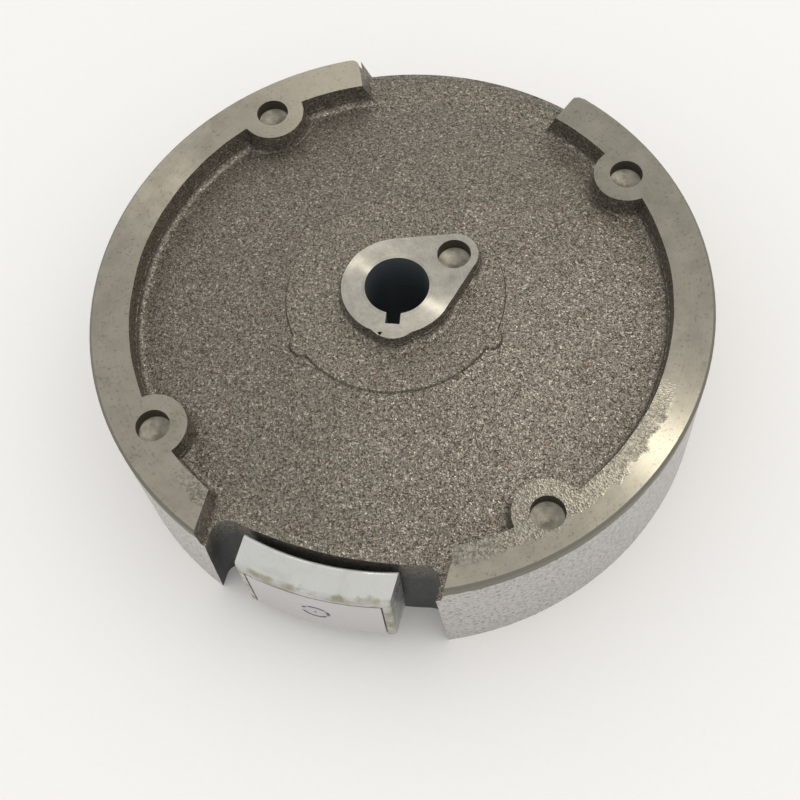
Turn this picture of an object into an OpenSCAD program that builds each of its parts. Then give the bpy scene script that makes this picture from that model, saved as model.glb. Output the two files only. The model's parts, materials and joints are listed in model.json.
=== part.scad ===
// Cast-iron flywheel of a small vertical-shaft engine, with its ignition magnet set in a notch
// of the rim.  Units are millimetres.  The origin is on the crankshaft axis, at the plane of the
// rim's lower edge; +Z points to the fan and starter side, and the magnet faces -Y.

/* [Rim] */
// Outside diameter of the turned rim
rim_d = 185; // [155:1:222]
// Height of the rim, from its lower edge up to the machined land
rim_h = 44.5; // [37:0.5:54]
// Wall of the rim at its lower edge
rim_wall = 17; // [15:0.5:22]
// Width of the machined land on top of the rim
land_w = 12; // [10:0.5:15]
// Bevel on the land's outer edge
land_bevel = 0.8; // [0.3:0.1:1.5]

/* [Web] */
// Depth of the cast web's face below the land, beside the rim
web_drop = 7.3; // [6:0.1:9]
// How far the web's face rises as a shallow cone, from the rim to the hub
web_crown = 6.9; // [4:0.1:8]
// Thickness of the web
web_t = 9.2; // [7:0.1:12]
// Radius of the rounded outer edge where the web runs out between the land's ends
web_edge_r = 5; // [3:0.5:6]
// Diameter of the low cast pad around the hub
pad_d = 64.8; // [56:0.1:76]
// Offset of that pad from the axis, across
pad_across = -0.9; // [-2:0.1:2]
// Height of that pad above the top of the cone
pad_h = 0.8; // [0.4:0.1:1.5]
// Diameter of the three small lugs on the pad's edge
pad_lug_d = 7.6; // [6:0.1:10]
// Direction of the first of those lugs around the axis, in degrees
pad_lug_angle = -15; // [-30:1:0]
// Fillet where cast walls rise from the web
cast_fillet = 2; // [1:0.5:3]

/* [Hub] */
// Height of the hub's face above the land
hub_rise = 5.5; // [3:0.5:9]
// Diameter of the hub's round part
hub_d = 32.8; // [30:0.1:39]
// Length of the hub, which is the crankshaft seat
hub_length = 41; // [34:1:49]
// Diameter of the crankshaft seat
bore_d = 19.1; // [16:0.1:22.9]
// Width of the keyway
key_w = 4.2; // [3.5:0.1:5]
// Depth of the keyway below the wall of the bore
key_depth = 3.4; // [2.5:0.1:4]
// Direction of the keyway around the axis, in degrees
key_angle = -81; // [-95:1:-70]
// How far the hub's wall is thickened behind the keyway
key_bump = 1.5; // [0.5:0.1:2.5]
// Radius of that thickened part
key_bump_r = 8; // [6.5:0.5:10]
// Diameter of the lug beside the bore that carries the starter cup's peg
lug_d = 14.4; // [13.5:0.1:17]
// Distance of the lug's hole from the axis
lug_offset = 19.7; // [16.5:0.1:23.5]
// Direction of the lug around the axis, in degrees
lug_angle = 46; // [30:1:60]

/* [Blind holes] */
// Diameter of the drilled holes in the land and in the lug
hole_d = 10; // [8:0.1:12]
// Depth of their straight part
hole_depth = 4; // [3:0.1:5]
// Depth of the drill point below it
hole_point = 1.8; // [1:0.1:3]
// Distance of the land's holes from the rim's outside
hole_inset = 11.5; // [9.5:0.1:14]
// Number of holes in the land
hole_count = 4; // [4:1:4]
// Diameter of the bosses that carry the land's holes
boss_d = 20; // [16.5:0.5:24]

/* [Gap at the back] */
// Half of the angle that the land leaves open at the back
gap_half_angle = 23.3; // [18:0.1:28]
// Slope of the land's ends there, from the vertical
gap_end_slope = 22; // [5:1:30]
// Rounding of the land's outer corners there
gap_corner_r = 2.6; // [1:0.1:4]

/* [Magnet notch] */
// Width of the notch through the rim, at the web's face
notch_w = 66; // [56:1:78]
// Depth of the notch, from the rim's outside to the bulge of its back wall
notch_depth = 12.2; // [10.5:0.1:14]
// Radius of that bulging back wall
notch_back_r = 126; // [100:1:160]
// Radius of the notch's two inner corners
notch_corner_r = 5; // [3:0.5:6]
// Draft of the notch's sides, in degrees from the vertical
notch_draft = 3.5; // [1:0.5:5]
// Width of the slot that the notch leaves in the land
slot_w = 70.6; // [68:0.2:84]

/* [Magnet block] */
// Width of the die-cast holder
block_w = 44.6; // [38:0.2:52]
// Height of the holder
block_h = 28.4; // [24:0.2:34]
// Thickness of the holder, in from the rim's outside
block_t = 9.2; // [8:0.1:10.2]
// Depth of the holder's top below the land
block_drop = 6.8; // [5:0.1:9]
// Direction of the block, in degrees off the middle of the notch
block_angle = -0.7; // [-2:0.1:2]
// Side wall of the holder
holder_side = 2.2; // [1.5:0.1:3]
// Top wall of the holder
holder_top = 4.6; // [3:0.1:6]
// Back wall of the holder
holder_back = 1.4; // [1:0.1:2]
// Thickness of the pole shoe
shoe_t = 3; // [2:0.1:3.6]
// Wall of the holder around the magnet, in from the pole shoe's edge
magnet_margin = 3.2; // [1.5:0.1:5]
// Width of the resin joint around the pole shoe
resin_w = 0.5; // [0.3:0.1:1]
// Rounding of the holder's edges
holder_round = 1.2; // [0.5:0.1:2]

/* [Rivet] */
// Diameter of the rivet's countersunk head
rivet_head_d = 8.4; // [7:0.1:10]
// Diameter of the rivet's shank
rivet_d = 4.8; // [4:0.1:5.8]
// Diameter of the upset head inside the rim
rivet_upset_d = 8; // [6.8:0.1:9.6]
// Height of the upset head
rivet_upset_h = 2; // [1.5:0.1:3]
// Clearance around the shank inside the magnet
rivet_clearance = 0.3; // [0.1:0.1:0.6]

/* [Hidden] */
$fn = 96;

over = 1;                                  // how far a cutter runs past what it cuts
sink = 0.5;                                // how far added metal starts inside the metal below
hull_fn = 32;
rim_r = rim_d / 2;
bore_r = bore_d / 2;
hole_r = hole_d / 2;
hub_r = hub_d / 2;
web_top = rim_h - web_drop;
web_under = web_top - web_t;
hub_top = rim_h + hub_rise;
crown_top = web_top + web_crown;
pad_top = crown_top + pad_h;
pad_r = pad_d / 2;
crown_foot_r = rim_r - land_w - cast_fillet * 2;
cut_in_r = crown_foot_r + 0.4;             // where the cutters of the land's openings stop
hub_bottom = hub_top - hub_length;
cast_draft = 3;                            // degrees on the rim's and hub's hidden walls
rim_in_low = rim_r - rim_wall;
rim_in_high = rim_in_low - web_under * tan(cast_draft);
hub_low_r = hub_r + 1;
hub_under_r = hub_low_r + (web_under - hub_bottom) * tan(cast_draft);
land_in_r = rim_r - land_w;
land_lean = 1;                             // how far the land's inner wall leans in at its foot
hole_circle_r = rim_r - hole_inset;
hole_first_angle = 45;
boss_lean = 0.7;
hub_lean = 0.5;
key_reach = bore_r + key_depth;            // from the axis to the keyway's floor

block_top = rim_h - block_drop;
block_bottom = block_top - block_h;
block_back_r = rim_r - block_t;
block_half_w = block_w / 2;
shoe_back_r = rim_r - shoe_t;
shoe_half_w = block_half_w - holder_side - resin_w;
shoe_top = block_top - holder_top;
magnet_half_w = shoe_half_w - magnet_margin;
magnet_top = shoe_top - magnet_margin;
magnet_bottom = block_bottom + magnet_margin / 2;
magnet_back_r = block_back_r + holder_back;
rivet_z = (shoe_top + block_bottom) / 2;
rivet_back_r = rim_in_low + 1.5;           // where the upset head bears on its spot face
rivet_sink = (rivet_head_d - rivet_d) / 2; // a right-angled countersink
spot_face_d = rivet_upset_d + 2;

seat_half_w = magnet_half_w * 0.6;         // the cast seat behind the holder
notch_back_y = notch_depth - rim_r;        // front of the bulging back wall
corner_x = notch_w / 2 - notch_corner_r;
bulge_centre_y = notch_back_y + notch_back_r;
corner_y = bulge_centre_y - sqrt(notch_back_r * notch_back_r - corner_x * corner_x);

// ---- shared shapes -------------------------------------------------------------------------

// A 2-D fillet that fills the inside corner at (x, y); sx and sy say which way it opens.
module corner_fill(x, y, r, sx, sy) {
  translate([x, y])
    difference() {
      translate([sx > 0 ? -sink : -r, sy > 0 ? -sink : -r]) square([r + sink, r + sink]);
      translate([sx * r, sy * r]) circle(r = r);
    }
}

// A cast boss with a leaning side and a filleted foot.
module cast_boss(r, lean, rise) {
  rotate_extrude() {
    polygon([[0, -sink], [r + lean, -sink], [r + lean, 0], [r, rise], [0, rise]]);
    corner_fill(r + lean * 0.9, 0, cast_fillet, 1, 1);
  }
}

// A drilled blind hole with a conical end, cut down from z = 0.
module blind_hole() {
  translate([0, 0, -hole_depth]) cylinder(h = hole_depth + over, r = hole_r);
  translate([0, 0, -hole_depth - hole_point]) cylinder(h = hole_point, r1 = 0, r2 = hole_r);
}

// Turns a piece drawn along +X and +Z into the direction of the magnet block, facing -Y.
module at_block() {
  rotate([0, 0, block_angle]) children();
}

// A round hole or pin along the rivet's axis, between two distances from the crank axis.
module radial_rod(r_from, r_to, r_start, r_end) {
  translate([0, -r_from, rivet_z]) rotate([90, 0, 0])
    cylinder(h = r_to - r_from, r1 = r_start, r2 = r_end);
}

// The countersunk end of the rivet or of its seat, run out past the rim's surface.
module rivet_cone() {
  radial_rod(rim_r - rivet_sink, rim_r + over, rivet_d / 2, rivet_head_d / 2 + over);
}

// A slab that follows the rim, between two radii, two heights and a half width.
module rim_slab(r_in, r_out, z_low, z_high, half_w) {
  translate([0, 0, z_low])
    linear_extrude(z_high - z_low)
      intersection() {
        difference() {
          circle(r = r_out);
          circle(r = r_in);
        }
        translate([-half_w, -r_out - over]) square([2 * half_w, r_out]);
      }
}

// ---- casting -------------------------------------------------------------------------------

// Rim below the web's face, web and hub as one turned shape.  The cone of the web's face runs on
// a little way under the pad around the hub.
module wheel_body() {
  rotate_extrude() {
    difference() {
      union() {
        polygon([[rim_in_low, 0], [rim_r, 0], [rim_r, web_top - web_edge_r],
                 [rim_r - web_edge_r, web_top], [0, web_top], [0, hub_bottom],
                 [hub_low_r, hub_bottom], [hub_under_r, web_under], [rim_in_high, web_under]]);
        translate([rim_r - web_edge_r, web_top - web_edge_r]) circle(r = web_edge_r);
        corner_fill(hub_under_r, web_under, cast_fillet * 2, 1, -1);
        corner_fill(rim_in_high, web_under, cast_fillet * 2, -1, -1);
      }
      translate([-rim_r, -over]) square([rim_r, rim_h * 2]);
    }
  }
}

// The raised land, all the way round.
module land_ring() {
  foot_r = land_in_r - land_lean;
  rotate_extrude() {
    polygon([[foot_r, web_top - sink], [foot_r, web_top], [land_in_r, rim_h],
             [rim_r - land_bevel, rim_h], [rim_r, rim_h - land_bevel],
             [rim_r, web_top - web_edge_r], [rim_r - web_edge_r, web_top - web_edge_r],
             [rim_r - web_edge_r, web_top - sink]]);
    corner_fill(foot_r, web_top, cast_fillet, -1, 1);
  }
}

// One sloping side of the back gap's cutter, swung from the middle of the gap.
module gap_half_space(side) {
  rotate([0, 0, 90 + side * gap_half_angle])
    translate([0, 0, rim_h])
      rotate([-side * gap_end_slope, 0, 0])
        translate([0, side > 0 ? -rim_r : 0, -rim_h]) cube([rim_r * 2, rim_r, rim_h * 2]);
}

// Rounds the land's outer corner at one end of the gap.
module gap_corner(side) {
  lift = rim_r - land_bevel - gap_corner_r;
  rotate([0, 0, 90 + side * gap_half_angle])
    translate([lift, side * gap_corner_r, web_top])
      difference() {
        translate([0, side > 0 ? -gap_corner_r - over : 0, 0])
          cube([gap_corner_r * 2, gap_corner_r + over, web_drop + over]);
        translate([0, 0, -over]) cylinder(h = web_drop + 3 * over, r = gap_corner_r);
      }
}

// What the land leaves open at the back; the web's edge is rounded off there.
module back_gap() {
  intersection() {
    gap_half_space(1);
    gap_half_space(-1);
    rotate_extrude()
      difference() {
        translate([cut_in_r, web_top - web_edge_r])
          square([rim_r + over - cut_in_r, web_drop + web_edge_r + over]);
        translate([0, -over]) square([rim_r - web_edge_r, web_top + over]);
        translate([rim_r - web_edge_r, web_top - web_edge_r]) circle(r = web_edge_r);
      }
    translate([-rim_r * 2, 0, 0]) cube([rim_d * 2, rim_r * 2, rim_h * 2]);
  }
  for (side = [-1, 1]) gap_corner(side);
}

// What the land leaves open above the magnet; its ends lean in a little at their foot.
module front_slot() {
  half = slot_w / 2;
  lean = 0.8;
  difference() {
    rotate([90, 0, 0])
      linear_extrude(rim_r + over)
        polygon([[lean - half, web_top], [half - lean, web_top], [half, rim_h],
                 [half, rim_h + over], [-half, rim_h + over], [-half, rim_h]]);
    cylinder(h = rim_h * 2, r = cut_in_r);
  }
}

// The notch for the magnet, wider at the bottom by its draft, with a bulging back wall.
module magnet_notch() {
  spread = web_top * tan(notch_draft);
  difference() {
    hull() {
      for (side = [-1, 1]) {
        for (level = [0, 1]) {
          half = notch_w / 2 + (1 - level) * spread;
          z = level * web_top + (level * 2 - 1) * over;
          translate([side * (half - notch_corner_r), corner_y - notch_corner_r, z])
            cylinder(h = 0.01, r = notch_corner_r, $fn = hull_fn);
          translate([side * (half - over / 2), -rim_r - over, z])
            cube([over, over, 0.01], center = true);
        }
      }
    }
    translate([0, bulge_centre_y, -2 * over]) cylinder(h = rim_h * 2, r = notch_back_r);
  }
}

// The seat on the notch's back wall that the magnet block is riveted against.
module block_seat() {
  at_block()
    rim_slab(rivet_back_r + over, block_back_r, block_bottom + magnet_margin,
             magnet_top - magnet_margin, seat_half_w);
}

// The shallow cone of the web's face, run on a little at both ends into the metal it joins.
module web_cone() {
  slope = web_crown / (crown_foot_r - pad_r);
  dip = 0.2;
  lift = pad_h * 0.6;
  hull() {
    translate([0, 0, web_top - dip]) cylinder(h = 0.01, r = crown_foot_r + dip / slope, $fn = 96);
    translate([0, 0, crown_top + lift]) cylinder(h = 0.01, r = pad_r - lift / slope, $fn = 96);
  }
}

// One round of the pad, started below the cone so that its whole edge stands on it.
module pad_round(r) {
  foot = pad_h * 3;
  translate([0, 0, pad_top - foot]) cylinder(h = foot, r1 = r + foot / 2, r2 = r);
}

// The low pad left by the mould around the hub, with its three small lugs.
module hub_pad() {
  lug_at = pad_r - pad_lug_d / 6;
  translate([pad_across, 0, 0]) {
    pad_round(pad_r);
    for (i = [0:2])
      rotate([0, 0, pad_lug_angle + i * 120]) translate([lug_at, 0, 0]) pad_round(pad_lug_d / 2);
  }
}

// The raised hub: a round part, the lug, and the thickening behind the keyway.
module hub_boss() {
  lug_r = lug_d / 2;
  key_bump_at = hub_r + key_bump - key_bump_r;
  rise = hub_top - pad_top;
  tuck = 0.05;                             // keeps the flat-sided hull inside the round bosses
  translate([0, 0, pad_top]) {
    cast_boss(hub_r, hub_lean, rise);
    rotate([0, 0, lug_angle]) translate([lug_offset, 0, 0]) cast_boss(lug_r, hub_lean, rise);
    rotate([0, 0, key_angle]) translate([key_bump_at, 0, 0])
      cast_boss(key_bump_r, hub_lean, rise);
  }
  hull() {
    translate([0, 0, pad_top - sink])
      cylinder(h = rise + sink, r1 = hub_r + hub_lean - tuck, r2 = hub_r - tuck,
               $fn = hull_fn * 3);
    rotate([0, 0, lug_angle]) translate([lug_offset, 0, pad_top - sink])
      cylinder(h = rise + sink, r1 = lug_r + hub_lean - tuck, r2 = lug_r - tuck,
               $fn = hull_fn * 2);
  }
}

// Bore, keyway and the lug's blind hole.
module hub_cuts() {
  translate([0, 0, hub_bottom - over]) cylinder(h = hub_length + 2 * over, r = bore_r);
  rotate([0, 0, key_angle])
    translate([0, -key_w / 2, hub_bottom - over])
      cube([key_reach, key_w, hub_length + 2 * over]);
  rotate([0, 0, lug_angle]) translate([lug_offset, 0, hub_top]) blind_hole();
}

// The rivet's hole through the rim wall and the spot face of its upset head.
module rivet_cuts() {
  at_block() {
    radial_rod(rivet_back_r - over, rim_r, rivet_d / 2, rivet_d / 2);
    radial_rod(rivet_back_r - rim_wall / 2, rivet_back_r, spot_face_d / 2, spot_face_d / 2);
  }
}

module land_hole_positions() {
  for (i = [0:hole_count - 1])
    rotate([0, 0, hole_first_angle + i * 360 / hole_count])
      translate([hole_circle_r, 0, 0]) children();
}

module flywheel_casting() {
  color("#756f66")
    difference() {
      union() {
        difference() {
          union() {
            wheel_body();
            land_ring();
            land_hole_positions() translate([0, 0, web_top])
              cast_boss(boss_d / 2, boss_lean, web_drop);
          }
          difference() {
            cylinder(h = rim_h * 2, r = rim_r * 2);
            translate([0, 0, -over]) cylinder(h = rim_h * 3, r = rim_r);
          }
          back_gap();
          front_slot();
          magnet_notch();
        }
        block_seat();
        web_cone();
        hub_pad();
        hub_boss();
      }
      land_hole_positions() translate([0, 0, rim_h]) blind_hole();
      hub_cuts();
      rivet_cuts();
    }
}

// ---- magnet block --------------------------------------------------------------------------

// The holder's plan: two straight sides and two rim arcs, with rounded outer corners.
module holder_plan() {
  round_x = block_half_w - holder_round;
  reach = rim_r - holder_round;
  round_y = sqrt(reach * reach - round_x * round_x);
  difference() {
    union() {
      intersection() {
        circle(r = rim_r);
        translate([-round_x, -rim_r]) square([2 * round_x, rim_r]);
      }
      translate([-block_half_w, -round_y]) square([block_w, round_y]);
      for (side = [-1, 1]) translate([side * round_x, -round_y]) circle(r = holder_round);
    }
    circle(r = block_back_r);
    translate([-rim_r, -rim_r / 2]) square([rim_d, rim_r]);
  }
}

// The holder's section through the rim: a bar with rounded upper edges.
module holder_section() {
  depth = block_t - 2 * holder_round;
  translate([block_back_r, block_bottom]) square([block_t, block_h - holder_round]);
  translate([block_back_r + holder_round, block_bottom]) square([depth, block_h]);
  for (r = [block_back_r + holder_round, rim_r - holder_round])
    translate([r, block_top - holder_round]) circle(r = holder_round);
}

module magnet_holder() {
  color("#c6c6c2")
    at_block()
      difference() {
        intersection() {
          rotate_extrude() holder_section();
          translate([0, 0, block_bottom - over]) linear_extrude(block_h + 2 * over) holder_plan();
        }
        rim_slab(shoe_back_r, rim_r + over, block_bottom - over, shoe_top + resin_w,
                 shoe_half_w + resin_w);
        rim_slab(magnet_back_r, shoe_back_r + over, magnet_bottom, magnet_top, magnet_half_w);
        radial_rod(block_back_r - over, shoe_back_r + over, rivet_d / 2, rivet_d / 2);
      }
}

module ignition_magnet() {
  bore_wall = rivet_d / 2 + rivet_clearance;
  color("#3a3a3c")
    at_block()
      difference() {
        rim_slab(magnet_back_r, shoe_back_r, magnet_bottom, magnet_top, magnet_half_w);
        radial_rod(magnet_back_r - over, shoe_back_r + over, bore_wall, bore_wall);
      }
}

module pole_shoe() {
  color("#b4b2b4")
    at_block()
      difference() {
        rim_slab(shoe_back_r, rim_r, block_bottom, shoe_top, shoe_half_w);
        radial_rod(shoe_back_r - over, rim_r, rivet_d / 2, rivet_d / 2);
        rivet_cone();
      }
}

module sealing_resin() {
  fill_r = rim_r - holder_round / 2;
  color("#a08a4a")
    at_block()
      difference() {
        rim_slab(shoe_back_r, fill_r, block_bottom, shoe_top + resin_w, shoe_half_w + resin_w);
        rim_slab(shoe_back_r - over, rim_r + over, block_bottom - over, shoe_top, shoe_half_w);
      }
}

module retaining_rivet() {
  color("#a9a8aa")
    at_block()
      intersection() {
        union() {
          radial_rod(rivet_back_r, rim_r, rivet_d / 2, rivet_d / 2);
          rivet_cone();
          radial_rod(rivet_back_r - rivet_upset_h, rivet_back_r, rivet_upset_d / 2 - 1,
                     rivet_upset_d / 2);
        }
        cylinder(h = rim_h, r = rim_r);
      }
}

flywheel_casting();
magnet_holder();
ignition_magnet();
pole_shoe();
sealing_resin();
retaining_rivet();
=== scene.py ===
"""Cast-iron flywheel of a small vertical-shaft engine, with its ignition magnet block, laid out as an add-on.

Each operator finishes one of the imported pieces, the last one builds the studio around them.
Places and sizes are in metres, except that grain, marks and ripples are in millimetres.
"""

import json
import math

import bmesh
import bpy
from bpy.props import FloatProperty, FloatVectorProperty, PointerProperty
from mathutils import Matrix, Vector, noise


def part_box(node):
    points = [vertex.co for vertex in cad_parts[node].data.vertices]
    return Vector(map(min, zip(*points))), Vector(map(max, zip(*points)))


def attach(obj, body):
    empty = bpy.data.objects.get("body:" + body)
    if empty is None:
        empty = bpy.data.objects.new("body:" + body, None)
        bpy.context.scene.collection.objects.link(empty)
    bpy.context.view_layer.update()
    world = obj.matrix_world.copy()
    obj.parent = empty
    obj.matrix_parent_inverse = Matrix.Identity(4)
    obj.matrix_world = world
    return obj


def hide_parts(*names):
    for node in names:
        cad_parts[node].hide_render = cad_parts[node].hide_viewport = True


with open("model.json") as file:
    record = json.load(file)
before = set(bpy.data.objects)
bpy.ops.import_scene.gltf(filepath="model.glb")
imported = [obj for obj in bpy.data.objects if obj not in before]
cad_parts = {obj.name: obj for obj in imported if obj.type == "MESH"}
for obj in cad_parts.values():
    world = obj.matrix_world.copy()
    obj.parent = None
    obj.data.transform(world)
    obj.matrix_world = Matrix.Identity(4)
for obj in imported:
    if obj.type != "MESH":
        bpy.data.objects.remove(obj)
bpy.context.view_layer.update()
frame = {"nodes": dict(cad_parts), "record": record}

bl_info = {
    "name": "Flywheel Finisher",
    "version": (1, 0, 0),
    "blender": (4, 5, 0),
    "location": "3D View > Sidebar > Flywheel",
    "description": "Gives a packed engine flywheel its cast, turned and drilled surfaces",
    "category": "Object",
}

MM = 0.001
MOUNTS = {mount["name"]: mount for mount in frame["record"]["mounts"]}

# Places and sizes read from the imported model
RIM_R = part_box("flywheel_casting")[1].x
LAND_Z = MOUNTS["fan_holes"]["pos_m"][2]
HUB_Z = MOUNTS["hub_face"]["pos_m"][2]
HUB_FOOT_Z = MOUNTS["hub_underside"]["pos_m"][2]
BORE_R = MOUNTS["crank_bore"]["dims"]["r_mm"] * MM
HOLE_R = MOUNTS["fan_holes"]["dims"]["hole_r_mm"] * MM
HOLE_CIRCLE_R = MOUNTS["fan_holes"]["dims"]["pcd_mm"] / 2 * MM
PEG_HOLE = Vector(MOUNTS["peg_hole"]["pos_m"])
HOLE_REACH = HOLE_CIRCLE_R * math.sqrt(0.5)

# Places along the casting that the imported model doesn't name
GAP_DIRECTION = Vector((0.0, 1.0, 0.0))
GAP_HALF_ANGLE = math.radians(22.5)
GAP_FADE_ANGLE = math.radians(2.5)
GAP_EDGE_WIDTH = 8 * MM
GAP_EDGE_FADE = 5 * MM
NOTCH_START = 74 * MM
SLOT_HALF_WIDTH = 36 * MM
DRILLED_DEPTH = 7 * MM
KEYWAY_DEPTH = 3.6 * MM
RIM_EDGE_WIDTH = 0.9 * MM
MISSED_DIRECTION = (0.41, -0.91, 0.0)
MISSED_WIDTH = 11 * MM
# Top and fade of the band of painted shade that stands for a shaded step below the land
DARK_BAND_Z = LAND_Z - 2.9 * MM
DARK_BAND_FADE = 0.4 * MM

# How near a point, an edge or an angle has to be to count as the same
FACE_TOLERANCE = 0.06 * MM
SNAPPED = 0.001 * MM
SAME_POINT = 0.02 * MM
SLIVER = 0.005 * MM
CUT_TOLERANCE = 0.0001 * MM
FLAT_ANGLE = math.radians(0.3)

# The angle from which an edge is shaded as a crease
CREASE_ANGLE = math.radians(40)

# Shares of a face's direction that point one way: mostly that way, and squarely so
MOSTLY = 0.5
SQUARELY = 0.99

# The wandering edge of the gap: widths of its waves in millimetres, and where they are cut off
WIDE_WANDER = 11
FINE_WANDER = 4
WANDER_TOP = 0.5

# Colours of stains, painted shade and the like, which no setting changes
CHIP = "#c9c3b4"
# Painted shade, low down in the notch's recess
NOTCH_PAINTED_SHADE = "#3f4446"
# Painted shade of the step below the land, on the rim's side
RIM_STEP_PAINTED_SHADE = "#77746a"
# Painted shade on the walls inside the drilled holes
DRILLED_WALL_PAINTED_SHADE = "#57524a"
BORE_DARK = "#596166"
BORE_LIGHT = "#8a9296"
RESIN_STAIN = "#8a8161"
SEAM = "#2b2824"

# The studio's floor and lamps
WHITE = "#ffffff"
KEY_WHITE = "#fffdf8"
WARM_WHITE = "#fffaf0"
KEY_PLACE = (0.9, 0.5, 1.4)
GLINT_PLACE = (0.42, 0.36, 1.1)
WINDOW_PLACE = (-0.31, 0.74, 1.02)
KEY_SIZE = 1.2
SMALL_LAMP_SIZE = 0.12
FLOOR_SIZE = 6.0
# How many times as strong as the window the glint is
GLINT_TO_WINDOW = 7

# The camera: its sensor in millimetres, the nearest distance it sees, its place and its directions
SENSOR_WIDTH = 36.0
NEAREST_SEEN = 0.01
CAMERA_PLACE = (0.07344, -0.18946, 0.37506)
CAMERA_RIGHT = Vector((0.96414, 0.25726, -0.06513))
CAMERA_UP = Vector((-0.20179, 0.87009, 0.44969))


def linear(hex_colour):
    """Turns an sRGB hex colour into linear red, green and blue."""
    parts = [int(hex_colour[i:i + 2], 16) / 255 for i in (1, 3, 5)]
    return tuple(c / 12.92 if c <= 0.04045 else ((c + 0.055) / 1.055) ** 2.4 for c in parts)


def colour_setting(name, description, hex_colour):
    return FloatVectorProperty(
        name=name, description=description, subtype="COLOR", size=3, min=0, max=1, default=linear(hex_colour)
    )


def size_setting(name, description, default, low, high):
    return FloatProperty(name=name, description=description, default=default, min=low, max=high, precision=2)


class CastingSettings(bpy.types.PropertyGroup):
    """Sizes and colours of the iron casting"""

    slice_step: size_setting("Slice", "Edge length of the finely cut casting, in mm", 2.0, 1.5, 5.0)
    swell: size_setting("Swell", "Depth of the slow swells of the sand mould, in mm", 0.16, 0.0, 0.5)
    swell_width: size_setting("Swell width", "Width of those swells, in mm", 13.0, 6.0, 30.0)
    lump: size_setting("Lumps", "Depth of the smaller lumps, in mm", 0.09, 0.0, 0.3)
    lump_width: size_setting("Lump width", "Width of those lumps, in mm", 5.0, 4.0, 10.0)
    gap_ripple: size_setting("Gap ripple", "How far the web's open edge wanders, in mm", 1.1, 0.0, 2.0)
    grain: size_setting("Grain", "Width of one sand grain's print, in mm", 0.36, 0.2, 2.0)
    groove: size_setting("Groove", "Spacing of the facing tool's marks, in mm", 0.7, 0.3, 2.0)
    cast_dark: colour_setting("Cast, dark", "Dark share of the cast skin", "#423d36")
    cast_light: colour_setting("Cast, light", "Light share of the cast skin", "#8f887c")
    rust: colour_setting("Rust", "Specks of rust on the cast skin", "#7a4a30")
    turned: colour_setting("Turned", "Freshly turned iron", "#938e81")
    side: colour_setting("Side", "The rim's turned side", "#c6c2c0")
    faced: colour_setting("Faced", "The hub's faced top", "#aba79c")


class MagnetSettings(bpy.types.PropertyGroup):
    """Sizes and colours of the magnet block and what holds it"""

    line: size_setting("Line", "Spacing of the turned lines on the pole shoe, in mm", 0.5, 0.2, 2.0)
    cast: colour_setting("Die cast", "The block's die-cast skin", "#c2c2be")
    shoe: colour_setting("Pole steel", "The pole shoe's turned face", "#cfcdce")
    resin: colour_setting("Resin", "The cured resin round the shoe", "#5c4a22")
    rivet: colour_setting("Rivet steel", "The rivet's turned head", "#c9c7c9")
    magnet: colour_setting("Magnet", "The magnet inside the block", "#2b2b2d")


class StageSettings(bpy.types.PropertyGroup):
    """The floor, the light and the camera's lens"""

    floor: colour_setting("Floor", "The pale studio floor", "#fbf9f5")
    sky: FloatProperty(name="Sky", description="Strength of the even light", default=0.95, min=0, max=3)
    key: FloatProperty(name="Key", description="Power of the key light", default=1.2, min=0, unit="POWER")
    glint: FloatProperty(
        name="Glint", description="Power of the light seen in polish", default=3.0, min=0, unit="POWER"
    )
    lens: FloatProperty(
        name="Lens", description="Focal length", default=58.836, min=20, max=200, unit="CAMERA"
    )


def add_node(tree, kind, inputs=None, **settings):
    """Adds a node, sets its own properties, then fills or links its inputs, given by name or number."""
    made = tree.nodes.new("ShaderNode" + kind)
    for name, value in settings.items():
        setattr(made, name, value)
    for key, value in (inputs or {}).items():
        if isinstance(value, bpy.types.NodeSocket):
            tree.links.new(value, made.inputs[key])
        else:
            made.inputs[key].default_value = value
    return made.outputs


def rgba(colour):
    return (*colour, 1.0)


def soft_noise(tree, place, width, detail):
    """Cloudy noise with lumps about width millimetres across, as a value around a half."""
    return add_node(tree, "TexNoise", {"Vector": place, "Scale": per_mm(width), "Detail": detail})["Fac"]


def ramp(tree, value, span, result=(0.0, 1.0)):
    """Maps value from span onto result, and holds result's ends beyond the span."""
    inputs = {
        "Value": value, "From Min": span[0], "From Max": span[1], "To Min": result[0], "To Max": result[1]
    }
    return add_node(tree, "MapRange", inputs)[0]


def blend(tree, share, first, second):
    """A colour that goes from first to second as share goes from 0 to 1."""
    return add_node(tree, "Mix", {"Factor": share, "A": first, "B": second}, data_type="RGBA")["Result"]


def scaled(tree, colour, share):
    return add_node(tree, "VectorMath", {0: colour, "Scale": share}, operation="SCALE")[0]


def weighted_sum(tree, value, weight, other):
    """Weight times value, plus other."""
    return add_node(tree, "Math", {0: value, 1: weight, 2: other}, operation="MULTIPLY_ADD")[0]


def height_of(tree, place):
    return add_node(tree, "SeparateXYZ", {0: place})["Z"]


def level_part(tree, place):
    return add_node(tree, "VectorMath", {0: place, 1: (1.0, 1.0, 0.0)}, operation="MULTIPLY")[0]


def shade_of(tree, cells):
    """A value from 0 to 1 that is the same all over each cell."""
    return add_node(tree, "SeparateColor", {"Color": cells["Color"]})["Red"]


def bumped(tree, height, strength, depth):
    """The surface's direction where height, from 0 to 1, stands for depth in millimetres."""
    inputs = {"Height": height, "Strength": strength, "Distance": depth * MM}
    return add_node(tree, "Bump", inputs)["Normal"]


def new_material(name):
    """An empty node material, its tree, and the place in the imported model's frame as a socket."""
    material = bpy.data.materials.new(name)
    material.use_nodes = True
    tree = material.node_tree
    tree.nodes.clear()
    place = add_node(tree, "TexCoord")["Object"]
    return material, tree, place


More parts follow.
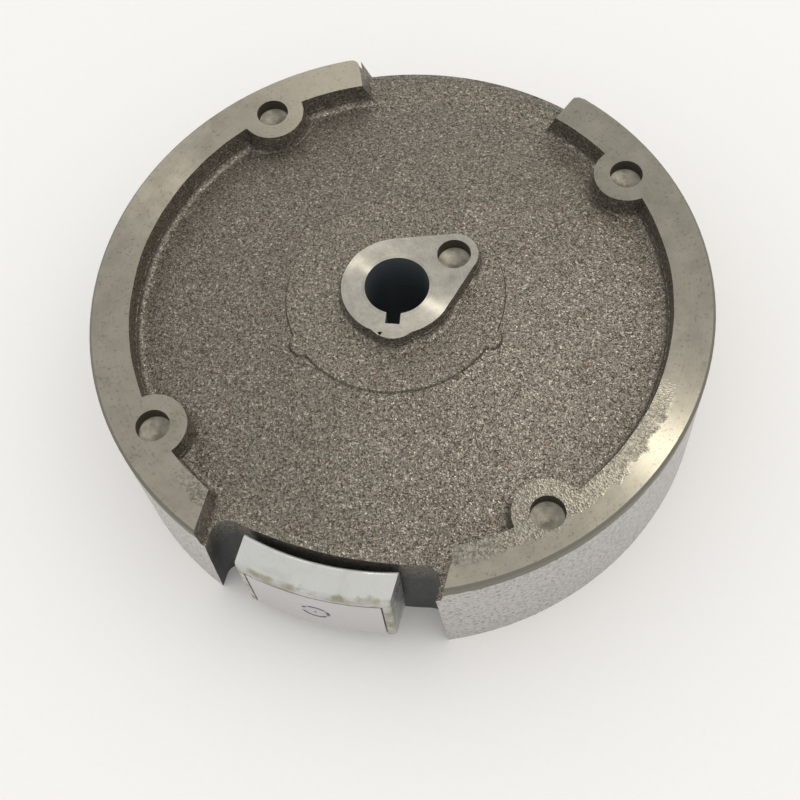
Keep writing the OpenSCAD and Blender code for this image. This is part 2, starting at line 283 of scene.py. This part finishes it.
def surface(tree, inputs):
    """Ends a material in a Principled shader with these inputs."""
    shader = add_node(tree, "BsdfPrincipled", inputs)
    add_node(tree, "OutputMaterial", {"Surface": shader[0]})


def per_mm(width):
    """The scale that makes a texture cell this many millimetres wide."""
    return 1.0 / (width * MM)


def axis_radius(tree, place, centre=(0.0, 0.0, 0.0)):
    """The distance from a vertical axis through centre."""
    flat = level_part(tree, place)
    level_centre = (centre[0], centre[1], 0.0)
    return add_node(tree, "VectorMath", {0: flat, 1: level_centre}, operation="DISTANCE")["Value"]


def outward(tree, place):
    """The level direction away from the crank axis, along which the light on turned faces spreads."""
    flat = level_part(tree, place)
    return add_node(tree, "VectorMath", {0: flat}, operation="NORMALIZE")[0]


def tool_marks(tree, across, spacing):
    """Uneven marks of a cutting tool, from 0 to 1: rings across a radius, or lines across a height."""
    return add_node(
        tree, "TexNoise", {"W": across, "Scale": per_mm(spacing), "Detail": 3.0}, noise_dimensions="1D"
    )["Fac"]


def sand_cast_iron(settings):
    """Grey iron cast in sand and shot-blasted: a dull warm skin of grain prints with a few bright facets."""
    material, tree, place = new_material("sand_cast_iron")
    colour, height, gloss = cast_skin(tree, place, settings)
    bump = bumped(tree, height, 1.0, 0.09)
    surface(tree, {"Base Color": colour, "Metallic": 0.85, "Roughness": gloss, "Normal": bump})
    return material


def cast_skin(tree, place, settings):
    """Colour, height and roughness of the sand's print: grains, pale chips, dusty patches and rust specks."""
    grain = add_node(tree, "TexVoronoi", {"Vector": place, "Scale": per_mm(settings.grain)})
    shade = shade_of(tree, grain)
    uneven = soft_noise(tree, place, settings.grain * 2.6, 5.0)
    mixed = weighted_sum(tree, shade, 0.62, uneven)
    share = ramp(tree, mixed, (0.42, 1.14))
    base = blend(tree, share, rgba(settings.cast_dark), rgba(settings.cast_light))
    chip = ramp(tree, mixed, (1.1, 1.2), (0.0, 0.6))
    chipped = blend(tree, chip, base, rgba(linear(CHIP)))
    patch = soft_noise(tree, place, 28, 3.0)
    dusty = ramp(tree, patch, (0.0, 1.0), (0.86, 1.12))
    toned = scaled(tree, chipped, dusty)
    speck = soft_noise(tree, place, 3, 5.0)
    rusty = ramp(tree, speck, (0.68, 0.74), (0.0, 0.6))
    colour = blend(tree, rusty, toned, rgba(settings.rust))
    height = add_node(tree, "Math", {0: grain["Distance"], 1: uneven}, operation="ADD")[0]
    gloss = ramp(tree, shade, (0.0, 1.0), (0.66, 0.34))
    return colour, height, gloss


def oily_cast_iron(settings):
    """Cast skin in the notch, with painted shade: slate-black low down, where the notch lies deepest in
    shade, brown towards the top.
    """
    material, tree, place = new_material("oily_cast_iron")
    colour, height, _ = cast_skin(tree, place, settings)
    level = height_of(tree, place)
    streak = soft_noise(tree, place, 3, 6.0)
    # Painted shade: the notch's cast skin is blended towards slate-black the lower it lies, where shade falls
    # in the recess.
    edge = weighted_sum(tree, streak, 16 * MM, level)
    untinted = ramp(tree, edge, (LAND_Z - 12 * MM, LAND_Z), (0.15, 0.85))
    mixed = blend(tree, untinted, rgba(linear(NOTCH_PAINTED_SHADE)), colour)
    bump = bumped(tree, height, 0.8, 0.12)
    surface(tree, {"Base Color": mixed, "Metallic": 0.5, "Roughness": 0.55, "Normal": bump})
    return material


def missed_by_the_cut(tree, place):
    """Where the facing cut left the land's inner part as cast, on the magnet's side, from 0 to 1."""
    ragged = soft_noise(tree, place, 4, 5.0)
    radius = axis_radius(tree, place)
    edge = weighted_sum(tree, ragged, -7 * MM, radius)
    inner = ramp(tree, edge, (RIM_R - MISSED_WIDTH + 1 * MM, RIM_R - MISSED_WIDTH))
    facing = add_node(
        tree, "VectorMath", {0: outward(tree, place), 1: MISSED_DIRECTION}, operation="DOT_PRODUCT"
    )["Value"]
    near = ramp(tree, facing, (0.5, 0.62))
    return add_node(tree, "Math", {0: inner, 1: near}, operation="MULTIPLY")[0]


def turned_cast_iron(settings):
    """Cast iron faced on a lathe: satin grey rings that draw the light out, and a rough part left as cast."""
    material, tree, place = new_material("turned_cast_iron")
    rings = tool_marks(tree, axis_radius(tree, place), settings.groove)
    cloud = soft_noise(tree, place, 6, 6.0)
    pits = soft_noise(tree, place, 0.9, 3.0)
    streaky = weighted_sum(tree, rings, 0.25, cloud)
    tone = ramp(tree, streaky, (0.35, 0.9), (0.82, 1.12))
    pitted = ramp(tree, pits, (0.3, 0.42), (0.72, 1.0))
    share = add_node(tree, "Math", {0: tone, 1: pitted}, operation="MULTIPLY")[0]
    bright = scaled(tree, settings.turned, share)
    missed = missed_by_the_cut(tree, place)
    grain = add_node(tree, "TexVoronoi", {"Vector": place, "Scale": per_mm(settings.grain * 1.4)})
    shade = shade_of(tree, grain)
    speckle = ramp(tree, shade, (0.0, 1.0), (0.55, 1.35))
    rough_colour = scaled(tree, settings.turned, speckle)
    colour = blend(tree, missed, bright, rough_colour)
    printed = add_node(tree, "Math", {0: grain["Distance"], 1: missed}, operation="MULTIPLY")[0]
    height = weighted_sum(tree, rings, 0.12, printed)
    bump = bumped(tree, height, 0.6, 0.12)
    satin = ramp(tree, cloud, (0.0, 1.0), (0.26, 0.38))
    gloss = weighted_sum(tree, missed, 0.12, satin)
    surface(tree, {
        "Base Color": colour, "Metallic": 1.0, "Roughness": gloss, "Anisotropic": 0.95,
        "Tangent": outward(tree, place), "Normal": bump,
    })
    return material


def turned_rim_side(settings):
    """The rim's turned side: light grey with open pores in short rows, and a band of painted shade below the
    land, standing for a shaded step.
    """
    material, tree, place = new_material("turned_rim_side")
    rows = add_node(tree, "Mapping", {"Vector": place, "Scale": (1.0, 1.0, 2.6)})[0]
    pores = soft_noise(tree, rows, 1.1, 6.0)
    open_pore = ramp(tree, pores, (0.38, 0.48), (0.42, 1.0))
    light = scaled(tree, settings.side, open_pore)
    # Painted shade: a dark band below the land stands for the shaded wall of a step.
    height = height_of(tree, place)
    ragged = soft_noise(tree, rows, 5, 5.0)
    edge = weighted_sum(tree, ragged, 2.4 * MM, height)
    dark = ramp(tree, edge, (DARK_BAND_Z, DARK_BAND_Z + DARK_BAND_FADE))
    colour = blend(tree, dark, light, rgba(linear(RIM_STEP_PAINTED_SHADE)))
    bump = bumped(tree, open_pore, 0.5, 0.15)
    surface(tree, {"Base Color": colour, "Metallic": 0.9, "Roughness": 0.45, "Normal": bump})
    return material


def faced_hub_iron(settings):
    """The hub's faced end: cloudy bright iron whose rings spread the light into opposite bright sectors."""
    material, tree, place = new_material("faced_hub_iron")
    rings = tool_marks(tree, axis_radius(tree, place), settings.groove)
    cloud = soft_noise(tree, place, 4, 5.0)
    scuff = soft_noise(tree, place, 0.6, 3.0)
    mixed = weighted_sum(tree, rings, 0.3, cloud)
    scuffed = weighted_sum(tree, scuff, 0.5, mixed)
    tone = ramp(tree, scuffed, (0.6, 1.2), (0.72, 1.14))
    bright = scaled(tree, settings.faced, tone)
    bump = bumped(tree, scuffed, 0.3, 0.05)
    surface(tree, {
        "Base Color": bright, "Metallic": 1.0, "Roughness": 0.36, "Anisotropic": 0.95,
        "Tangent": outward(tree, place), "Normal": bump,
    })
    return material


def drilled_cast_iron(settings):
    """Drilled holes: walls darkened with painted shade, and a satin drill-point cone with faint rings."""
    material, tree, place = new_material("drilled_cast_iron")
    # The four holes lie alike in the four quarters, so one quarter's centre serves them all.
    quarter = add_node(tree, "VectorMath", {0: place}, operation="ABSOLUTE")[0]
    in_land = axis_radius(tree, quarter, (HOLE_REACH, HOLE_REACH, 0.0))
    in_lug = axis_radius(tree, place, PEG_HOLE)
    radius = add_node(tree, "Math", {0: in_land, 1: in_lug}, operation="MINIMUM")[0]
    rings = tool_marks(tree, radius, 0.35)
    smear = soft_noise(tree, place, 2.5, 4.0)
    mixed = weighted_sum(tree, rings, 0.4, smear)
    # Painted shade: the walls down inside each hole are painted dark, where shade falls.
    wall = ramp(tree, radius, (HOLE_R * 0.93, HOLE_R * 0.98))
    tone = ramp(tree, mixed, (0.45, 0.95), (0.7, 1.6))
    bright = scaled(tree, settings.turned, tone)
    colour = blend(tree, wall, bright, rgba(linear(DRILLED_WALL_PAINTED_SHADE)))
    bump = bumped(tree, rings, 0.3, 0.04)
    surface(tree, {"Base Color": colour, "Metallic": 0.7, "Roughness": 0.58, "Normal": bump})
    return material


def bored_cast_iron(settings):
    """The crankshaft's bore and keyway: smooth turned iron, blued by oil."""
    material, tree, place = new_material("bored_cast_iron")
    height = height_of(tree, place)
    rings = tool_marks(tree, height, settings.groove)
    colour = blend(tree, rings, rgba(linear(BORE_DARK)), rgba(linear(BORE_LIGHT)))
    bump = bumped(tree, rings, 0.3, 0.05)
    surface(tree, {"Base Color": colour, "Metallic": 0.7, "Roughness": 0.45, "Normal": bump})
    return material


def die_cast_aluminium(settings):
    """Die-cast aluminium: silvery white satin skin with polished smears, and resin stains by the shoe."""
    material, tree, place = new_material("die_cast_aluminium")
    flow = add_node(
        tree, "TexNoise", {"Vector": place, "Scale": per_mm(7), "Detail": 5.0, "Distortion": 0.6}
    )["Fac"]
    grain = soft_noise(tree, place, 0.8, 3.0)
    tone = ramp(tree, flow, (0.3, 0.7), (0.84, 1.08))
    untinted = scaled(tree, settings.cast, tone)
    outer = ramp(tree, axis_radius(tree, place), (RIM_R - 3.6 * MM, RIM_R - 0.6 * MM))
    drip = soft_noise(tree, place, 4.5, 5.0)
    wetness = weighted_sum(tree, outer, 0.42, drip)
    stain = ramp(tree, wetness, (0.84, 1.02), (0.0, 0.75))
    colour = blend(tree, stain, untinted, rgba(linear(RESIN_STAIN)))
    gloss = ramp(tree, flow, (0.35, 0.62), (0.5, 0.26))
    bump = bumped(tree, grain, 0.25, 0.1)
    surface(tree, {"Base Color": colour, "Metallic": 0.8, "Roughness": gloss, "Normal": bump})
    return material


def rivet_seam(tree, place):
    """A broken dark ring where the rivet's head meets the shoe, and its centre pip, from 0 to 1."""
    low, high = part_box("retaining_rivet")
    centre = (low + high) / 2
    beside = add_node(tree, "VectorMath", {0: place, 1: (1.0, 0.0, 1.0)}, operation="MULTIPLY")[0]
    middle = (centre.x, 0.0, centre.z)
    reach = add_node(tree, "VectorMath", {0: beside, 1: middle}, operation="DISTANCE")["Value"]
    off = add_node(tree, "Math", {0: reach, 1: (high.x - low.x) / 2 - 0.3 * MM}, operation="SUBTRACT")[0]
    away = add_node(tree, "Math", {0: off}, operation="ABSOLUTE")[0]
    ring = ramp(tree, away, (0.7 * MM, 0.3 * MM))
    gaps = soft_noise(tree, place, 4, 3.0)
    kept = ramp(tree, gaps, (0.45, 0.55))
    broken = add_node(tree, "Math", {0: ring, 1: kept}, operation="MULTIPLY")[0]
    pip = ramp(tree, reach, (0.6 * MM, 0.3 * MM))
    return add_node(tree, "Math", {0: broken, 1: pip}, operation="MAXIMUM")[0]


def turned_with_rim(tree, place, spacing, colour):
    """Steel turned in one cut with the rim: fine level lines, and the dark seam round the rivet."""
    height = height_of(tree, place)
    lines = tool_marks(tree, height, spacing)
    tone = ramp(tree, lines, (0.0, 1.0), (0.86, 1.1))
    lined = scaled(tree, colour, tone)
    seamed = blend(tree, rivet_seam(tree, place), lined, rgba(linear(SEAM)))
    bump = bumped(tree, lines, 0.3, 0.05)
    surface(tree, {"Base Color": seamed, "Metallic": 0.95, "Roughness": 0.38, "Normal": bump})


def turned_pole_steel(settings):
    """Mild steel turned with the rim: pale grey, with fine level lines that dull its shine."""
    material, tree, place = new_material("turned_pole_steel")
    turned_with_rim(tree, place, settings.line, settings.shoe)
    return material


def cured_resin(settings):
    """Casting resin squeezed out round the shoe: glossy yellow-brown, from nearly black to amber."""
    material, tree, place = new_material("cured_resin")
    cloud = soft_noise(tree, place, 3, 3.0)
    tone = ramp(tree, cloud, (0.35, 0.6), (0.2, 1.7))
    colour = scaled(tree, settings.resin, tone)
    surface(tree, {"Base Color": colour, "Roughness": 0.3, "IOR": 1.55})
    return material


def turned_rivet_steel(settings):
    """The rivet's head, turned flush with the shoe, so that it takes the same lines."""
    material, tree, place = new_material("turned_rivet_steel")
    turned_with_rim(tree, place, settings.line, settings.rivet)
    return material


def sintered_ferrite(settings):
    """Sintered ferrite: a dull, almost black ceramic."""
    material, tree, place = new_material("sintered_ferrite")
    grain = soft_noise(tree, place, 1.2, 3.0)
    tone = ramp(tree, grain, (0.0, 1.0), (0.7, 1.3))
    colour = scaled(tree, settings.magnet, tone)
    surface(tree, {"Base Color": colour, "Roughness": 0.7})
    return material


def studio_paper(settings):
    """Matt paper with a trace of tooth, so that it looks even and doesn't shine."""
    material, tree, place = new_material("studio_paper")
    tooth = soft_noise(tree, place, 2, 4.0)
    tone = ramp(tree, tooth, (0.0, 1.0), (0.985, 1.015))
    colour = scaled(tree, settings.floor, tone)
    surface(tree, {"Base Color": colour, "Roughness": 0.9})
    return material


CASTING_FINISHES = {
    "cast": sand_cast_iron,
    "notch": oily_cast_iron,
    "land": turned_cast_iron,
    "side": turned_rim_side,
    "hub": faced_hub_iron,
    "drilled": drilled_cast_iron,
    "bored": bored_cast_iron,
}


def finish_of(face):
    """Which finish a face of the casting has, from where it lies and which way it looks."""
    centre, normal = face.calc_center_median(), face.normal
    radius = math.hypot(centre.x, centre.y)
    from_hole = math.hypot(abs(centre.x) - HOLE_REACH, abs(centre.y) - HOLE_REACH)
    from_peg = math.hypot(centre.x - PEG_HOLE.x, centre.y - PEG_HOLE.y)
    if lies_at(face, LAND_Z) or lies_at(face, 0.0):
        return "land"
    if lies_at(face, HUB_Z) or lies_at(face, HUB_FOOT_Z):
        return "hub"
    if from_hole < HOLE_R + FACE_TOLERANCE and centre.z > LAND_Z - DRILLED_DEPTH:
        return "drilled"
    if from_peg < HOLE_R + FACE_TOLERANCE and centre.z > HUB_Z - DRILLED_DEPTH:
        return "drilled"
    if radius < BORE_R + KEYWAY_DEPTH and abs(normal.z) < SQUARELY:
        return "bored"
    if radius > RIM_R - RIM_EDGE_WIDTH and normal.x * centre.x + normal.y * centre.y > MOSTLY * radius:
        return "side"
    if centre.y < -NOTCH_START and abs(centre.x) < SLOT_HALF_WIDTH and normal.z < MOSTLY:
        return "notch"
    return "cast"


def lies_at(face, level):
    return all(abs(vert.co.z - level) < SNAPPED for vert in face.verts)


def face_outwards(face):
    """Turns over the few slivers of a machined level that the clean-up left looking inwards."""
    upper = lies_at(face, LAND_Z) or lies_at(face, HUB_Z)
    lower = lies_at(face, 0.0) or lies_at(face, HUB_FOOT_Z)
    if (upper and face.normal.z < 0.0) or (lower and face.normal.z > 0.0):
        face.normal_flip()


def snap_levels(bm):
    """Brings points that lie a hair off a machined level onto it, so that its faces are truly flat."""
    for vert in bm.verts:
        for level in (LAND_Z, HUB_Z, HUB_FOOT_Z, 0.0):
            if abs(vert.co.z - level) < FACE_TOLERANCE:
                vert.co.z = level


def cut_finely(bm, step):
    """Slices the mesh by a grid of planes, so that no flat stretch is wider than step."""
    low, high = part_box("flywheel_casting")
    for axis in range(3):
        count = round((high[axis] - low[axis]) / step)
        normal = Vector([float(i == axis) for i in range(3)])
        for i in range(1, count):
            plane = low.lerp(high, i / count)
            geometry = bm.verts[:] + bm.edges[:] + bm.faces[:]
            bmesh.ops.bisect_plane(
                bm, geom=geometry, dist=CUT_TOLERANCE, plane_co=plane, plane_no=normal
            )


def open_edge_share(place):
    """How much of a point belongs to the web's open edge in the gap at the back, from 0 to 1."""
    flat = Vector((place.x, place.y, 0.0))
    if flat.length < 1 * MM or place.z < HUB_FOOT_Z:
        return 0.0
    turned_away = flat.angle(GAP_DIRECTION)
    if turned_away > GAP_HALF_ANGLE:
        return 0.0
    fade = min(1.0, (GAP_HALF_ANGLE - turned_away) / GAP_FADE_ANGLE)
    return fade * min(1.0, max(0.0, (flat.length - RIM_R + GAP_EDGE_WIDTH) / GAP_EDGE_FADE))


def mould_ripple(place, settings):
    """How far the cast skin stands off its nominal surface at a point, in metres."""
    swell = noise.noise(place * per_mm(settings.swell_width)) * settings.swell
    lump = noise.noise(place * per_mm(settings.lump_width)) * settings.lump
    ripple = 0.0
    share = open_edge_share(place)
    if share > 0.0:
        level = Vector((place.x, place.y, 0.0))
        wander = noise.noise(level * per_mm(WIDE_WANDER)) + noise.noise(level * per_mm(FINE_WANDER)) / 2
        ripple = share * settings.gap_ripple * (min(wander, WANDER_TOP) - WANDER_TOP)
    return (swell + lump + ripple) * MM


def roughen(bm, finishes, settings):
    """Moves the cast skin in and out. Where it meets a machined face, it moves within that face's plane."""
    cast = {finishes.index("cast"), finishes.index("notch")}
    fixed = {finishes.index("drilled"), finishes.index("bored")}
    level = {finishes.index("land"), finishes.index("hub")}
    moves = {}
    for vert in bm.verts:
        kinds = {face.material_index for face in vert.link_faces}
        if not kinds & cast or kinds & fixed:
            continue
        push = Vector()
        for face in vert.link_faces:
            if face.material_index in cast:
                push += face.normal * face.calc_area()
        if push.length == 0.0:
            continue
        push.normalize()
        for face in vert.link_faces:
            if face.material_index in level:
                push.z = 0.0
            elif face.material_index not in cast:
                push -= face.normal * push.dot(face.normal)
        moves[vert] = push * mould_ripple(vert.co, settings)
    for vert, move in moves.items():
        vert.co += move


def keep_inside(bm, low, high):
    """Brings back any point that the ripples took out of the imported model's box."""
    for vert in bm.verts:
        for axis in range(3):
            vert.co[axis] = min(high[axis], max(low[axis], vert.co[axis]))


def cast_body(settings):
    """The casting as a finely cut mesh with one material for each way its surface was made."""
    source = frame["nodes"]["flywheel_casting"]
    bm = bmesh.new()
    bm.from_mesh(source.data)
    snap_levels(bm)
    bmesh.ops.remove_doubles(bm, verts=bm.verts, dist=SAME_POINT)
    bmesh.ops.dissolve_degenerate(bm, dist=SLIVER, edges=bm.edges)
    bmesh.ops.dissolve_limit(bm, angle_limit=FLAT_ANGLE, verts=bm.verts, edges=bm.edges)
    cut_finely(bm, settings.slice_step * MM)
    bmesh.ops.triangulate(bm, faces=bm.faces)
    finishes = list(CASTING_FINISHES)
    for face in bm.faces:
        face_outwards(face)
        face.material_index = finishes.index(finish_of(face))
    roughen(bm, finishes, settings)
    keep_inside(bm, *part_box("flywheel_casting"))
    mesh = bpy.data.meshes.new("cast_body")
    bm.to_mesh(mesh)
    bm.free()
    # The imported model's own corner normals no longer fit the cut and rippled faces.
    if "custom_normal" in mesh.attributes:
        mesh.attributes.remove(mesh.attributes["custom_normal"])
    for make in CASTING_FINISHES.values():
        mesh.materials.append(make(settings))
    mesh.set_sharp_from_angle(angle=CREASE_ANGLE)
    piece = bpy.data.objects.new("cast_body", mesh)
    bpy.context.scene.collection.objects.link(piece)
    return piece


def finish_node(name, material):
    """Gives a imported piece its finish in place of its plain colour."""
    node = frame["nodes"][name]
    for slot in node.material_slots:
        slot.material = material


class FLYWHEEL_OT_casting(bpy.types.Operator):
    """Cuts the iron casting finely, ripples its cast skin and gives each face its finish"""

    bl_idname = "flywheel.casting"
    bl_label = "Casting"

    def execute(self, context):
        piece = cast_body(context.scene.flywheel_casting)
        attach(piece, "root")
        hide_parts("flywheel_casting")
        return {"FINISHED"}


class FLYWHEEL_OT_magnet_holder(bpy.types.Operator):
    """Finishes the die-cast block that holds the magnet"""

    bl_idname = "flywheel.magnet_holder"
    bl_label = "Magnet holder"

    def execute(self, context):
        finish_node("magnet_holder", die_cast_aluminium(context.scene.flywheel_magnet))
        return {"FINISHED"}


class FLYWHEEL_OT_ignition_magnet(bpy.types.Operator):
    """Finishes the magnet inside the block"""

    bl_idname = "flywheel.ignition_magnet"
    bl_label = "Ignition magnet"

    def execute(self, context):
        finish_node("ignition_magnet", sintered_ferrite(context.scene.flywheel_magnet))
        return {"FINISHED"}


class FLYWHEEL_OT_pole_shoe(bpy.types.Operator):
    """Finishes the steel pole shoe on the block's outer face"""

    bl_idname = "flywheel.pole_shoe"
    bl_label = "Pole shoe"

    def execute(self, context):
        finish_node("pole_shoe", turned_pole_steel(context.scene.flywheel_magnet))
        return {"FINISHED"}


class FLYWHEEL_OT_sealing_resin(bpy.types.Operator):
    """Finishes the resin that seals the shoe's edge"""

    bl_idname = "flywheel.sealing_resin"
    bl_label = "Sealing resin"

    def execute(self, context):
        finish_node("sealing_resin", cured_resin(context.scene.flywheel_magnet))
        return {"FINISHED"}


class FLYWHEEL_OT_retaining_rivet(bpy.types.Operator):
    """Finishes the rivet that holds the shoe"""

    bl_idname = "flywheel.retaining_rivet"
    bl_label = "Retaining rivet"

    def execute(self, context):
        finish_node("retaining_rivet", turned_rivet_steel(context.scene.flywheel_magnet))
        return {"FINISHED"}


def add_floor(settings):
    """A square of paper under the rim."""
    bpy.ops.mesh.primitive_plane_add(size=FLOOR_SIZE, location=(0.0, 0.0, 0.0))
    floor = bpy.context.object
    floor.name = "floor"
    floor.data.materials.append(studio_paper(settings))


def add_lamp(name, place, aim, size, power, colour):
    """A square soft light that looks at aim."""
    data = bpy.data.lights.new(name, "AREA")
    data.size = size
    data.energy = power
    data.color = linear(colour)
    lamp = bpy.data.objects.new(name, data)
    lamp.location = place
    lamp.rotation_euler = (Vector(aim) - Vector(place)).to_track_quat("-Z", "Y").to_euler()
    bpy.context.scene.collection.objects.link(lamp)
    return lamp


def add_sky(settings):
    """Even white light from all round."""
    world = bpy.data.worlds.new("studio")
    world.use_nodes = True
    background = world.node_tree.nodes["Background"]
    background.inputs["Color"].default_value = rgba(linear(WHITE))
    background.inputs["Strength"].default_value = settings.sky
    bpy.context.scene.world = world


def add_camera(settings):
    """The camera stands up and to the right of the magnet, tilted a little about its line of sight."""
    data = bpy.data.cameras.new("camera")
    data.lens = settings.lens
    data.sensor_width = SENSOR_WIDTH
    data.clip_start = NEAREST_SEEN
    camera = bpy.data.objects.new("camera", data)
    back = CAMERA_RIGHT.cross(CAMERA_UP).normalized()
    turn = Matrix((CAMERA_RIGHT, back.cross(CAMERA_RIGHT), back)).transposed()
    camera.matrix_world = Matrix.Translation(CAMERA_PLACE) @ turn.to_4x4()
    bpy.context.scene.collection.objects.link(camera)
    bpy.context.scene.camera = camera


class FLYWHEEL_OT_stage(bpy.types.Operator):
    """Builds the floor, the soft light and the camera"""

    bl_idname = "flywheel.stage"
    bl_label = "Stage"

    def execute(self, context):
        settings = context.scene.flywheel_stage
        add_floor(settings)
        add_sky(settings)
        middle = (0.0, 0.0, LAND_Z)
        add_lamp("key", KEY_PLACE, middle, KEY_SIZE, settings.key, KEY_WHITE)
        glint = add_lamp("glint", GLINT_PLACE, middle, SMALL_LAMP_SIZE, settings.glint, WARM_WHITE)
        faint = settings.glint / GLINT_TO_WINDOW
        window = add_lamp("window", WINDOW_PLACE, middle, SMALL_LAMP_SIZE, faint, WARM_WHITE)
        # The two small lamps only show in polish: they cast no light on matt surfaces.
        for lamp in (glint, window):
            lamp.visible_diffuse = False
        add_camera(settings)
        context.scene.view_settings.view_transform = "Standard"
        return {"FINISHED"}


STEPS = (
    FLYWHEEL_OT_casting,
    FLYWHEEL_OT_magnet_holder,
    FLYWHEEL_OT_ignition_magnet,
    FLYWHEEL_OT_pole_shoe,
    FLYWHEEL_OT_sealing_resin,
    FLYWHEEL_OT_retaining_rivet,
    FLYWHEEL_OT_stage,
)


class FLYWHEEL_PT_pieces(bpy.types.Panel):
    """Lists the steps that finish the flywheel, with their settings"""

    bl_idname = "FLYWHEEL_PT_pieces"
    bl_label = "Flywheel"
    bl_space_type = "VIEW_3D"
    bl_region_type = "UI"
    bl_category = "Flywheel"

    def draw(self, context):
        for step in STEPS:
            self.layout.operator(step.bl_idname)
        for group in ("flywheel_casting", "flywheel_magnet", "flywheel_stage"):
            settings = getattr(context.scene, group)
            box = self.layout.box()
            for name in settings.__annotations__:
                box.prop(settings, name)


CLASSES = (CastingSettings, MagnetSettings, StageSettings, *STEPS, FLYWHEEL_PT_pieces)


def register():
    for cls in CLASSES:
        bpy.utils.register_class(cls)
    bpy.types.Scene.flywheel_casting = PointerProperty(type=CastingSettings)
    bpy.types.Scene.flywheel_magnet = PointerProperty(type=MagnetSettings)
    bpy.types.Scene.flywheel_stage = PointerProperty(type=StageSettings)


def unregister():
    del bpy.types.Scene.flywheel_casting
    del bpy.types.Scene.flywheel_magnet
    del bpy.types.Scene.flywheel_stage
    for cls in reversed(CLASSES):
        bpy.utils.unregister_class(cls)


def main():
    register()
    for step in STEPS:
        group, name = step.bl_idname.split(".")
        getattr(getattr(bpy.ops, group), name)()


if __name__ == "__main__":
    main()
